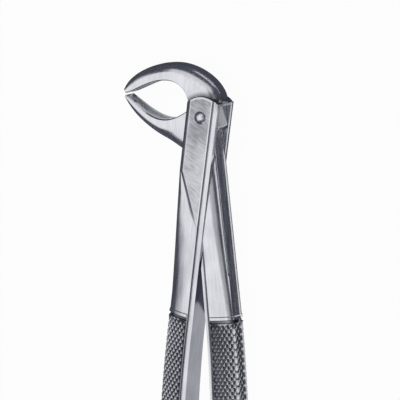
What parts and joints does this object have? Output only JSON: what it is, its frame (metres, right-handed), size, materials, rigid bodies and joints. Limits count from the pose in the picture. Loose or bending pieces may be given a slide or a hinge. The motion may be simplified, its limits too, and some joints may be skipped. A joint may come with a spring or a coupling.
{
  "type": "extraction forceps",
  "caption": "Dental extraction forceps with hawk-bill beaks set square to the handles, a box joint turning on a rivet, and long bowed handles with knurled grips.",
  "frame": {"origin": "on the joint rivet's axis, at the back face of the joint box, which rests on the table", "axes": "+X across the handles towards the tongue half's handle, +Y from the handles towards the beaks, +Z along the rivet towards its domed head"},
  "size_m": [0.0505, 0.1655, 0.0129],
  "materials": {
    "forged_steel": "polished stainless steel, satin-ground joint faces, knurled grips",
    "rivet_steel": "polished stainless steel"
  },
  "bodies": {
    "box_body": {"box_half": "forged_steel", "joint_pin": "rivet_steel"},
    "tongue_body": {"tongue_half": "forged_steel"}
  },
  "joints": [
    {"name": "jaw_hinge", "type": "hinge", "parent": "box_body", "child": "tongue_body", "pos_m": [0, 0, 0.006], "axis": [0, 0, 1], "range_deg": [-0.8, 20]}
  ]
}
